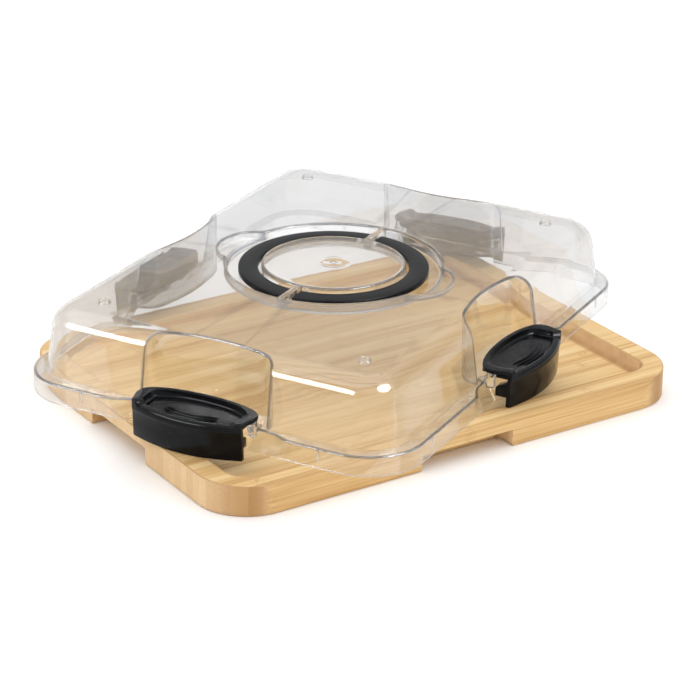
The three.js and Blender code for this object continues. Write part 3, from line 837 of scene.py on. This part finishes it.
def mark_bends(mesh):
    """Stores where the middle surface bends tightly, for painted dark reflection lines: 1 over an
    outward bend, less in an inward one.
    """
    work = bmesh.new()
    work.from_mesh(mesh)
    layer = work.verts.layers.float.new("bend")
    highest = max(work.verts, key=lambda v: v.co.z)
    outward = 1 if highest.normal.z > 0 else -1
    for edge in work.edges:
        if len(edge.link_faces) != 2:
            continue
        angle = math.degrees(edge.calc_face_angle_signed(0.0)) * outward
        amount = smooth_step((abs(angle) - BEND_FROM) / BEND_FADE) * (1 if angle > 0 else BEND_INWARD)
        for vert in edge.verts:
            vert[layer] = max(vert[layer], amount)
    work.to_mesh(mesh)
    work.free()


def lid_shell():
    rows = lid_rows()
    edge = rows[-1]
    top = LID_HIGH - SKIN
    for shrink in (0.99, 0.95):
        rows.append([(x * shrink, y * shrink, top) for x, y, _ in edge])
    points, faces = skin(rows, skip=in_gap)
    well = well_rows()
    start = len(points)
    well_points, well_faces = skin(well, close_last=True)
    last_row = start - len(edge)
    faces += ring_fill(rows[-1], well[0], last_row, start)
    points += well_points
    faces += [tuple(start + i for i in face) for face in well_faces]
    used = sorted({i for face in faces for i in face})
    number = {old: new for new, old in enumerate(used)}
    points = [points[i] for i in used]
    faces = [tuple(number[i] for i in face) for face in faces]
    piece = new_piece("lid_clear_shell", (points, faces), LID)
    mark_bends(piece.data)
    settle(
        piece,
        ("SUBSURF", {"levels": 1, "render_levels": 1, "boundary_smooth": "PRESERVE_CORNERS"}),
        ("SOLIDIFY", {"thickness": LID_WALL * MM, "offset": 0.0, "use_even_offset": False}),
        sharp_deg=50,
    )
    finish_piece(piece, "lid", "clear_plastic", CLEAR, "lid_shell")


# ---------------------------------------------------------------- lid: bridges, nubs, lugs and ribs

NUB_COLUMNS = 48


def lathe(profile, columns):
    """A turned loop for each (radius, z) of the profile."""
    turns = [2 * math.pi * k / columns for k in range(columns)]
    return [[(r * math.cos(turn), r * math.sin(turn), z) for turn in turns] for r, z in profile]


def bevelled(name, shape, place, body, slot, material, width, segments=3):
    """A piece with bevelled edges, the width in millimetres."""
    piece = new_piece(name, shape, place)
    bevel = {"width": width * MM, "segments": segments, "limit_method": "ANGLE"}
    settle(piece, ("BEVEL", bevel), sharp_deg=35)
    finish_piece(piece, body, slot, material)


def clear_box(name, corners, bevel, segments=3):
    """A bevelled box of clear plastic on the lid, between x0, x1, y0, y1, z0 and z1."""
    x0, x1, y0, y1, z0, z1 = corners
    loops = [[(x0, y0, z), (x1, y0, z), (x1, y1, z), (x0, y1, z)] for z in (z0, z1)]
    bevelled(name, capped(loops), LID, "lid", "clear_plastic", CLEAR, bevel, segments)


def lid_details():
    top = LID_HIGH
    for end, sign in (("right", 1), ("left", -1)):
        near, far = sorted((sign * (ISLAND_RADIUS - 1), sign * (WELL_RADIUS + 1)))
        corners = (near, far, -BRIDGE_HALF, BRIDGE_HALF, top - WELL_DEEP - 1, top - 0.1)
        clear_box(f"lid_bridge_{end}", corners, BRIDGE_EDGE)
    for name, x, y in (("a", -1, -1), ("b", 1, -1), ("c", 1, 1), ("d", -1, 1)):
        profile = [
            (NUB_BORE, top - NUB_SINK),
            (NUB_RADIUS, top - NUB_SINK),
            (NUB_RADIUS, top + NUB_HIGH - NUB_SINK),
            (NUB_RADIUS - NUB_EASE, top + NUB_HIGH),
            (NUB_BORE + NUB_EASE, top + NUB_HIGH),
            (NUB_BORE, top + NUB_HIGH - NUB_SINK),
        ]
        place = LID @ Matrix.Translation((x * NUB_X, y * NUB_Y, 0))
        shape = skin(lathe(profile, NUB_COLUMNS), wrap=True)
        piece = new_piece(f"lid_nub_{name}", shape, place, sharp_deg=35)
        finish_piece(piece, "lid", "clear_plastic", CLEAR)
    for side, turn, reach in SIDES:
        place = latch_frame(turn, reach)
        for end, sign in (("a", 1), ("b", -1)):
            lug(f"lid_lug_{side}_{end}", sign, place)
    long_side, short_side = LID_LONG / 2 - LID_WALL, LID_WIDE / 2 - LID_WALL
    spots = [(sx * long_side, sy * SPACER_Y) for sx in (1, -1) for sy in (1, -1)]
    spots += [(sx * SPACER_X, sy * short_side) for sx in (1, -1) for sy in (1, -1)]
    half = SPACER_HALF
    for number, (x, y) in enumerate(spots):
        corners = (x - half, x + half, y - half, y + half, SPACER_LOW, SPACER_HIGH)
        clear_box(f"lid_rib_{number + 1}", corners, SPACER_EDGE, 2)


def lug(name, sign, place):
    """A tab with a round head about the latch's pivot, and an arm that runs back to the wall."""
    foot = SKIRT_HIGH - LUG_DROP - PIVOT_HIGH
    arm_top = SKIRT_HIGH + LUG_ARM_RISE - PIVOT_HIGH
    arm_low = foot + LUG_ARM_LIFT
    r = BOSS_RADIUS
    outline = [(r, foot), (r, 0)]
    outline += [(r * math.cos(a), r * math.sin(a)) for a in spread(0, math.pi, 13)[1:-1]]
    outline += [(-r, 0), (-r, arm_top), (-LUG_ARM, arm_top)]
    outline += [(-LUG_ARM, arm_low), (-r, arm_low), (-r, foot)]
    near, far = sorted((sign * BOSS_NEAR, sign * BOSS_FAR))
    loops = [[(u, v, w) for v, w in outline] for u in (near, far)]
    bevelled(name, capped(loops), place, "lid", "clear_plastic", CLEAR, LUG_EDGE, 2)


# ---------------------------------------------------------------- handle

RING_COLUMNS = 96
RING_STEPS = 4


def handle_half(name, turn):
    """A half ring of rounded section, its two flat ends RING_END from the fold's axis."""
    r = RING_ROUND
    outer, inner, upper = RING_OUTER - r, RING_INNER + r, RING_THICK / 2 - r
    corners = [(outer, upper), (inner, upper), (inner, -upper), (outer, -upper)]
    section = []
    for quarter, (cx, cz) in enumerate(corners):
        for step in range(RING_STEPS + 1):
            a = math.radians(90 * quarter + 90 * step / RING_STEPS)
            section.append((cx + r * math.cos(a), cz + r * math.sin(a)))
    joint = JOINTS[f"handle_{name}_fold"]
    high = (joint["pos_m"][2] - LID_LOW) / MM
    loops = []
    for k in range(RING_COLUMNS + 1):
        loop = []
        for radius, z in section:
            start = math.asin(RING_END / radius)
            angle = blend(start, math.pi - start, k / RING_COLUMNS)
            loop.append((radius * math.cos(angle), radius * math.sin(angle), high + z))
        loops.append(loop)
    place = LID @ Matrix.Rotation(math.radians(turn), 4, "Z")
    piece = new_piece(f"handle_{name}_ring", capped(loops), place, sharp_deg=40)
    finish_piece(piece, f"handle_{name}", "black_plastic", RING_BLACK, f"handle_{name}")


# ---------------------------------------------------------------- latch

LIP_COLUMNS = 24
POST_COLUMNS = 6
POST_WIDE = 3.2
POST_FADE = 2.6
BACK_COLUMNS = 40
DISH_HALF = 37.2
DISH_RIM = 3.1
DISH_LIP = 5.0
DISH_FLOOR = 0.4
DISH_MIDDLE = 4
UNDERCUT = 0.3

# Thumb ribs: (distance behind the lip, half length)
THUMB_RIBS = [(8.0, 17), (11.0, 21), (14.4, 20)]
RIB_HALF = 0.75
RIB_HIGH = 1.4
RIB_BOW = 1.35
RIB_COLUMNS = 33
RIB_SIDES = 8

# Sections of the parts behind the apron, (inward, up), and where each spans along u
BLOCK = [(-EAR_V + 0.5, -17.1), (-1.8, -17.1), (-1.8, -10.5), (-EAR_V + 0.5, -4.5)]
BLOCK_NEAR = 30
WEB = [(-EAR_V + 0.5, -3.4), (2.2, -3.4), (2.2, 2.0), (-EAR_V + 0.5, 2.0)]
WEB_NEAR = 33
HOOK = [(-14.5, -21.9), (-10, -21.9), (-3.5, -19.5), (-3.5, -17.9), (-14.5, -17.9)]
HOOK_HALF = 18
BAR_EDGE = 0.4
HOOK_EDGE = 0.3


def lip_v(u):
    return EAR_V + LIP_BOW * (1 - (u / EAR_U) ** 2)


def lip_share(u, v):
    """1 on the lowered lip between the ears, 0 on the ears and the inner rim."""
    return smooth_step((EAR_U - POST_WIDE - abs(u)) / POST_FADE) * smooth_step((v - 3) / 8)


def lip_columns():
    """u along the lip, closer together where it steps down beside each ear."""
    inner = EAR_U - POST_WIDE - POST_FADE
    post = [-u for u in spread(EAR_U, inner, POST_COLUMNS + 1)[:-1]]
    return post + spread(-inner, inner, LIP_COLUMNS + 1) + [-u for u in reversed(post)]


def inner_arc(half, depth):
    """(u, v) along the inner edge, bowed toward the lid, from the right tip to the left."""
    bends = [math.radians(a) for a in spread(0, 180, BACK_COLUMNS + 1)]
    return [(half * math.cos(bend), -depth * math.sin(bend) ** INNER_FULLNESS) for bend in bends]


def latch_outline():
    """(u, v) seen from above: lip, right ear, tip, the long inner arc, left tip and ear."""
    lip = [(u, lip_v(u)) for u in lip_columns()]
    right = [(blend(EAR_U, TIP_U, t), blend(EAR_V, TIP_V, t)) for t in (0.33, 0.67, 1)]
    return lip + right + inner_arc(TIP_U, INNER_V) + [(-u, v) for u, v in reversed(right)]


def dish_outline():
    """The dish's edge, point for point with the latch's outline; its ends are blunt."""
    share = DISH_HALF / EAR_U
    lip = [(u * share, lip_v(u * share) - DISH_LIP - 2 * (u / EAR_U) ** 8) for u in lip_columns()]
    end = lip[-1][1]
    right = [(DISH_HALF, blend(end, 0, t)) for t in (0.33, 0.67, 0.95)]
    return lip + right + inner_arc(DISH_HALF, INNER_V - DISH_RIM) + [(-u, v) for u, v in reversed(right)]


def drawn_in(outline, amount):
    """The outline moved inward along its own normals, by an amount that depends on the place."""
    count = len(outline)
    moved = []
    for i, (u, v) in enumerate(outline):
        pu, pv = outline[i - 1]
        nu, nv = outline[(i + 1) % count]
        du, dv = nu - pu, nv - pv
        step = amount(u, v) / math.hypot(du, dv)
        moved.append((u + step * dv, v - step * du))
    return moved


def latch(name, turn, reach):
    """One rocker: a cap with its dish, the apron in front, and blocks, webs and hook behind."""
    body = f"latch_{name}"
    place = latch_frame(turn, reach)
    outline = latch_outline()
    clipped = [(max(-BODY_U, min(BODY_U, u)), v) for u, v in outline]
    dish = dish_outline()

    def level(points, w):
        return [(u, v, w) for u, v in points]

    def top_edge(degrees):
        """A row of the quarter-round upper edge; the lip is lower and rounder than the rest."""
        rise = math.radians(degrees)

        def round_at(u, v):
            return blend(EDGE_ROUND, LIP_ROUND, lip_share(u, v))

        points = drawn_in(outline, lambda u, v: round_at(u, v) * (1 - math.cos(rise)))
        row = []
        for point, base in zip(points, outline):
            fall = LIP_DROP * lip_share(*base) + round_at(*base) * (1 - math.sin(rise))
            row.append((*point, LATCH_TOP - fall))
        return row

    def under_edge(inset, w, base=outline):
        """A row under the upper edge, which reaches further down at the lip."""
        points = drawn_in(base, lambda u, v: inset)
        return [(*point, w - LIP_REACH * lip_share(*at)) for point, at in zip(points, outline)]

    def dish_row(share, w):
        """A row of the dish, drawn toward its middle."""
        return [(u * share, blend(DISH_MIDDLE, v, share), w) for u, v in dish]

    def dish_rim(share, drop):
        """The dish's upper edge, lowered with the lip."""
        row = []
        for (u, v), base in zip(dish, outline):
            height = LATCH_TOP - drop - LIP_DROP * lip_share(*base)
            row.append((u * share, blend(DISH_MIDDLE, v, share), height))
        return row

    loops = [
        level([(u * 0.5, v * 0.5) for u, v in clipped], -1),
        level([(u * 0.97, v * 0.97) for u, v in clipped], -1),
        level(clipped, -0.6),
        under_edge(UNDERCUT, 1.6, clipped),
        under_edge(UNDERCUT, 2.1, clipped),
        under_edge(UNDERCUT, 2.2),
        under_edge(0, 2.4),
        *[top_edge(degrees) for degrees in (0, 22.5, 45, 67.5, 90)],
        dish_rim(1.035, 0),
        dish_rim(1.0, 0.35),
        dish_row(0.985, 2.0),
        dish_row(0.965, DISH_FLOOR + 0.7),
        dish_row(0.94, DISH_FLOOR + 0.15),
        dish_row(0.90, DISH_FLOOR),
        dish_row(0.45, DISH_FLOOR),
    ]
    cap = new_piece(f"latch_{name}_cap", capped(loops), place, sharp_deg=50)
    finish_piece(cap, body, "black_plastic", LATCH_BLACK, body)
    apron(f"latch_{name}_apron", body, place)
    for end, sign in (("a", 1), ("b", -1)):
        for part, section, near in (("block", BLOCK, BLOCK_NEAR), ("web", WEB, WEB_NEAR)):
            span = sorted((sign * near, sign * BODY_U))
            bar(f"latch_{name}_{part}_{end}", body, place, section, span, BAR_EDGE)
    bar(f"latch_{name}_hook", body, place, HOOK, (-HOOK_HALF, HOOK_HALF), HOOK_EDGE)
    for number, (back, half) in enumerate(THUMB_RIBS):
        thumb_rib(f"latch_{name}_rib_{number + 1}", body, place, back, half)


def bar(name, body, place, section, span, bevel):
    """A straight bar along u with a section drawn in the (inward, up) plane."""
    loops = [[(u, -v, w) for v, w in section] for u in span]
    bevelled(name, capped(loops), place, body, "black_plastic", LATCH_BLACK, bevel, 2)


def apron(name, body, place):
    """A curved wall hanging from the lip, leaning in, with a band along its top that stands proud."""
    def ring(w, out, wall, trim=0.0, follow=0.0):
        """One level of the wall; follow lowers it where the lip is lower."""
        outside = []
        for u in lip_columns():
            end = EAR_U - trim
            outside.append((max(-end, min(end, u)), lip_v(u) + out, w - follow * lip_share(u, EAR_V)))
        return outside + [(u, v - wall, w) for u, v, w in reversed(outside)]

    wall = APRON_WALL
    loops = [
        ring(LATCH_LOW, -APRON_LEAN - 0.6, wall - 1.1, 0.5),
        ring(LATCH_LOW + 0.15, -APRON_LEAN - 0.2, wall - 0.4, 0.2),
        ring(LATCH_LOW + 0.6, -APRON_LEAN, wall),
        ring(-12, -APRON_LEAN * 0.6 - 0.2, wall),
        ring(-3.6, -0.75, wall),
        ring(-3.3, -0.62, wall),
        ring(-3.0, -0.25, wall + 0.4),
        ring(-2.7, -0.12, wall + 0.4),
        ring(-1.0, -0.03, wall + 0.4),
        ring(2.8, -0.03, wall, follow=LIP_REACH + 0.6),
    ]
    piece = new_piece(name, capped(loops), place, sharp_deg=40)
    finish_piece(piece, body, "black_plastic", LATCH_BLACK)


def thumb_rib(name, body, place, back, half):
    """A thin raised line on the dish's floor that follows the lip and tapers to its ends."""
    loops = []
    for k, u in enumerate(spread(-half, half, RIB_COLUMNS)):
        v = lip_v(u * RIB_BOW) - back
        taper = math.sqrt(max(0.02, 1 - abs(2 * k / (RIB_COLUMNS - 1) - 1) ** 6))
        wide, high = RIB_HALF * taper, RIB_HIGH * taper
        turns = [2 * math.pi * step / RIB_SIDES for step in range(RIB_SIDES)]
        loops.append([(u, v + wide * math.cos(a), DISH_FLOOR + high * math.sin(a)) for a in turns])
    piece = new_piece(name, capped(loops), place)
    finish_piece(piece, body, "black_plastic", LATCH_BLACK)


# ---------------------------------------------------------------- pins

PIN_CHAMFER = 0.22
PIN_COLUMNS = 32


def pin(node, body, axis):
    """A steel pin with chamfered ends in the place of its CAD node."""
    low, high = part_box(node)
    middle = (low + high) / 2
    along = Vector(axis).normalized()
    corners = [v.co for v in frame["nodes"][node].data.vertices]
    reach = max((c - middle).dot(along) for c in corners)
    radius = max(((c - middle) - along * (c - middle).dot(along)).length for c in corners)
    chamfer = radius * PIN_CHAMFER
    profile = [
        (radius - chamfer, -reach),
        (radius, chamfer - reach),
        (radius, reach - chamfer),
        (radius - chamfer, reach),
    ]
    place = Matrix.Translation(middle) @ along.to_track_quat("Z", "Y").to_matrix().to_4x4()
    piece = new_piece(f"{node}_steel", capped(lathe(profile, PIN_COLUMNS)), place, sharp_deg=35)
    finish_piece(piece, body, "steel", STEEL, node)


# ---------------------------------------------------------------- build

tray_board()
lid_shell()
lid_details()
for half_name, half_turn in (("back", 0), ("front", 180)):
    handle_half(half_name, half_turn)
for side_name, side_turn, side_reach in SIDES:
    latch(side_name, side_turn, side_reach)
for hinge in [joint for joint in frame["joints"] if joint["type"] == "hinge"]:
    for pin_end in ("a", "b"):
        pin(f"{hinge['child']}_pin_{pin_end}", hinge["child"], hinge["axis"])

# ---------------------------------------------------------------- floor, light and camera

FLOOR_TONES = [(0.3, (0.965, 0.965, 0.965)), (0.7, (0.985, 0.985, 0.985))]
FLOOR_HALF = 12
FLOOR_BELOW = 0.0002

# The world's brightness by the Z of the direction
CEILING = 1.45
SKY = [(0.0, 1.06), (0.22, 1.06), (0.30, 0.60), (0.47, 0.60), (0.74, CEILING)]

LOOK_AT = Vector((LID_MIDDLE.x, LID_MIDDLE.y, TRAY_HIGH.z))


def floor_material():
    material, tree, shader, _ = new_material("pale_floor")
    place = add(tree, "TexCoord").outputs["Object"]
    cloud = add(tree, "TexNoise", {"Vector": place, "Scale": 3.0, "Detail": 2.0}).outputs["Fac"]
    tree.links.new(ramp(tree, cloud, FLOOR_TONES), shader.inputs["Base Color"])
    shader.inputs["Roughness"].default_value = 0.9
    return material


def floor():
    corners = [(x * FLOOR_HALF, y * FLOOR_HALF, 0) for x, y in ((-1, -1), (1, -1), (1, 1), (-1, 1))]
    place = Matrix.Translation((0, 0, CAD_LOW.z - FLOOR_BELOW))
    piece = new_piece("floor", (corners, [(0, 1, 2, 3)]), place)
    piece.data.materials.append(floor_material())


def studio_world():
    """A bright ceiling and horizon with a darker band between, which glossy sides reflect."""
    world = bpy.data.worlds.new("studio")
    world.use_nodes = True
    tree = world.node_tree
    background = tree.nodes["Background"]
    toward = add(tree, "TexCoord").outputs["Generated"]
    up = add(tree, "SeparateXYZ", {"Vector": toward}).outputs["Z"]
    grey = [(position, (level / CEILING,) * 3) for position, level in SKY]
    tree.links.new(ramp(tree, up, grey), background.inputs["Color"])
    background.inputs["Strength"].default_value = CEILING
    return world


def softbox(name, azimuth, elevation, distance, wide, high, radiance, shape="RECTANGLE"):
    """A panel seen only in reflections: azimuth from +X, elevation above the floor, both in degrees."""
    a, e = math.radians(azimuth), math.radians(elevation)
    offset = Vector((math.cos(a) * math.cos(e), math.sin(a) * math.cos(e), math.sin(e))) * distance
    light = bpy.data.lights.new(name, "AREA")
    light.shape = shape
    light.size = wide
    light.size_y = high
    light.energy = radiance * math.pi * wide * high
    lamp = bpy.data.objects.new(name, light)
    lamp.location = LOOK_AT + offset
    lamp.rotation_euler = offset.to_track_quat("Z", "Y").to_euler()
    lamp.visible_diffuse = False
    bpy.context.scene.collection.objects.link(lamp)


floor()
bpy.context.scene.world = studio_world()
bpy.context.scene.view_settings.view_transform = "Standard"
softbox("strip_left", 176, 30, 1.7, 1.1, 0.5, 16)
softbox("round_front", -68, 47, 1.7, 1.0, 0.9, 16, "ELLIPSE")

# The camera solved from the photograph: its place in metres, its angles in degrees
CAMERA_AT = (-0.9488, -1.4318, 0.7778)
CAMERA_AZIMUTH = math.radians(-33.51)
CAMERA_DOWN = math.radians(23.62)
CAMERA_ROLL = math.radians(0.74)
CAMERA_LENS = 134.3


def photo_camera():
    level = math.cos(CAMERA_DOWN)
    ahead = Vector((
        -math.sin(CAMERA_AZIMUTH) * level,
        math.cos(CAMERA_AZIMUTH) * level,
        -math.sin(CAMERA_DOWN),
    ))
    right = ahead.cross(Vector((0, 0, 1))).normalized()
    above = right.cross(ahead)
    c, s = math.cos(CAMERA_ROLL), math.sin(CAMERA_ROLL)
    axes = Matrix((right * c + above * s, above * c - right * s, -ahead)).transposed()
    data = bpy.data.cameras.new("camera")
    data.lens = CAMERA_LENS
    data.clip_end = 100
    camera = bpy.data.objects.new("camera", data)
    camera.matrix_world = Matrix.Translation(CAMERA_AT) @ axes.to_4x4()
    bpy.context.scene.collection.objects.link(camera)
    bpy.context.scene.camera = camera


photo_camera()
